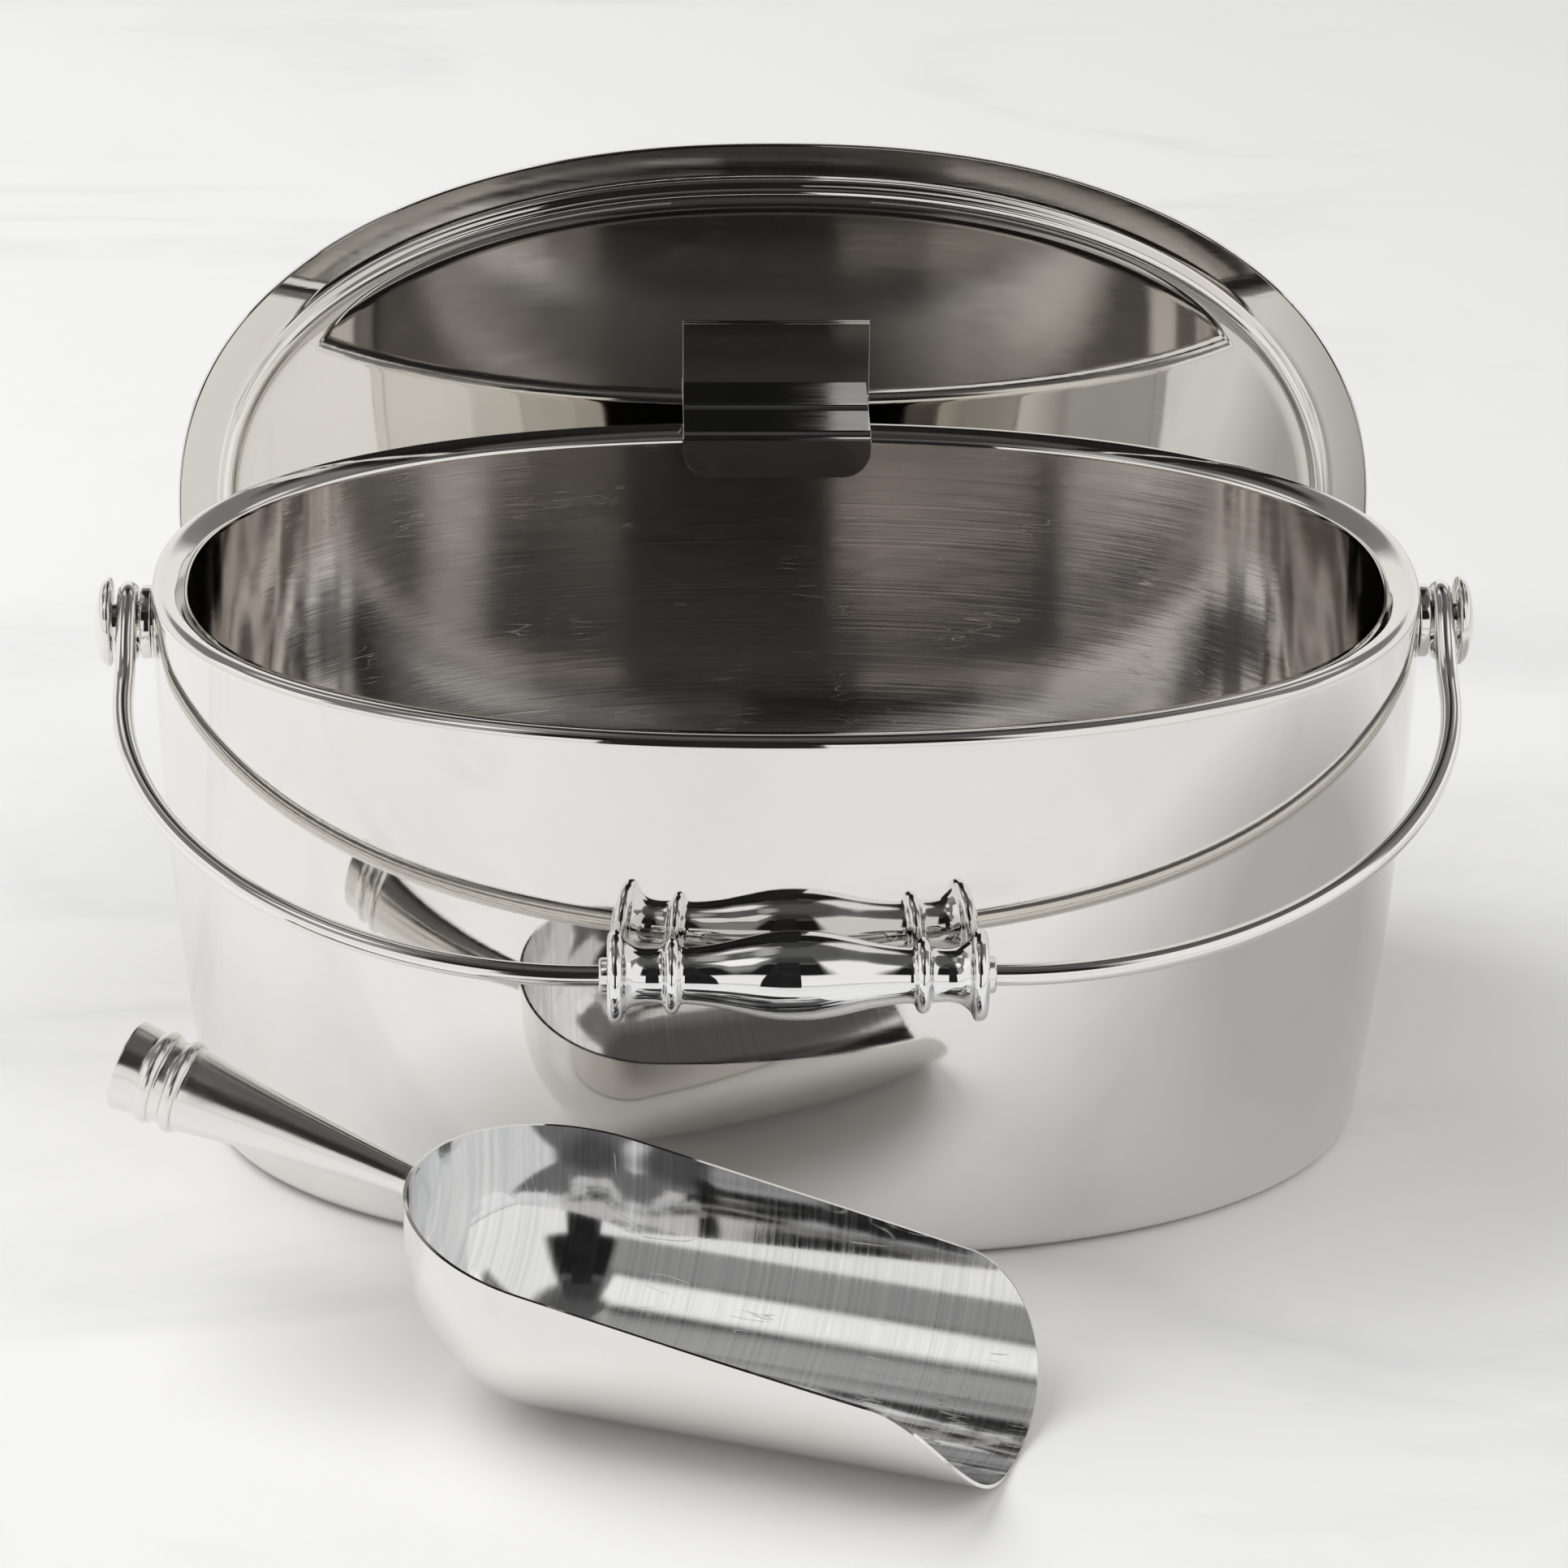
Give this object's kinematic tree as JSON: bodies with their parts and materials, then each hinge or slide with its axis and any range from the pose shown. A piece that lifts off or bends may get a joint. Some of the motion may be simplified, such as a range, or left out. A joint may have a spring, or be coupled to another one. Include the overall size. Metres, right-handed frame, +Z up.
{
  "type": "ice bucket",
  "caption": "Oval double-wall stainless ice bucket with a swinging bail and turned grip, an oval lid hung on its rear rim by a hook, and an ice scoop.",
  "frame": {"origin": "centre of the bucket's flat base, on the surface it stands on", "axes": "+X along the bucket's long axis, to the right seen from the front; +Y to the back, where the lid hangs; -Y to the front, where the bail hangs down; +Z up"},
  "size_m": [0.393, 0.4353, 0.2516],
  "materials": {
    "polished_shell": "mirror polished",
    "satin_liner": "satin brushed",
    "satin_wire": "satin drawn wire",
    "chrome_grip": "bright chrome",
    "polished_lid": "mirror polished",
    "polished_scoop": "polished with fine wear scratches",
    "polished_fittings": "polished",
    "plain_steel": "plain zinc plated"
  },
  "bodies": {
    "bucket": {"outer_shell": "polished_shell", "inner_liner": "satin_liner", "left_pivot_collar": "polished_fittings", "left_shoulder_stud": "polished_fittings", "left_backing_plate": "plain_steel", "left_stud_nut": "plain_steel", "right_pivot_collar": "polished_fittings", "right_shoulder_stud": "polished_fittings", "right_backing_plate": "plain_steel", "right_stud_nut": "plain_steel"},
    "bail": {"bail_wire": "satin_wire"},
    "grip": {"bail_grip": "chrome_grip", "left_grip_bush": "polished_fittings", "right_grip_bush": "polished_fittings"},
    "lid": {"lid_pan": "polished_lid", "lid_cover": "polished_lid", "lid_hook": "polished_lid", "lid_handle_rod": "satin_wire", "lid_handle_grip": "chrome_grip", "left_handle_foot": "polished_fittings", "right_handle_foot": "polished_fittings", "left_handle_nut": "plain_steel", "right_handle_nut": "plain_steel"},
    "scoop": {"scoop_bowl": "polished_scoop", "scoop_handle": "polished_scoop", "scoop_end_cap": "polished_scoop"}
  },
  "joints": [
    {"name": "bail_swing", "type": "hinge", "parent": "bucket", "child": "bail", "pos_m": [0, 0, 0.15], "axis": [-1, 0, 0], "range_deg": [0, 160]},
    {"name": "grip_spin", "type": "hinge", "parent": "bail", "child": "grip", "pos_m": [0, -0.12982, 0.10146], "axis": [1, 0, 0], "continuous": true},
    {"name": "lid_lift", "type": "slide", "parent": "bucket", "child": "lid", "axis": [0, 0, 1], "range_m": [0, 0.045]},
    {"name": "scoop_lift", "type": "slide", "parent": "bucket", "child": "scoop", "axis": [0, -0.7071, 0.7071], "range_m": [0, 0.12]}
  ]
}
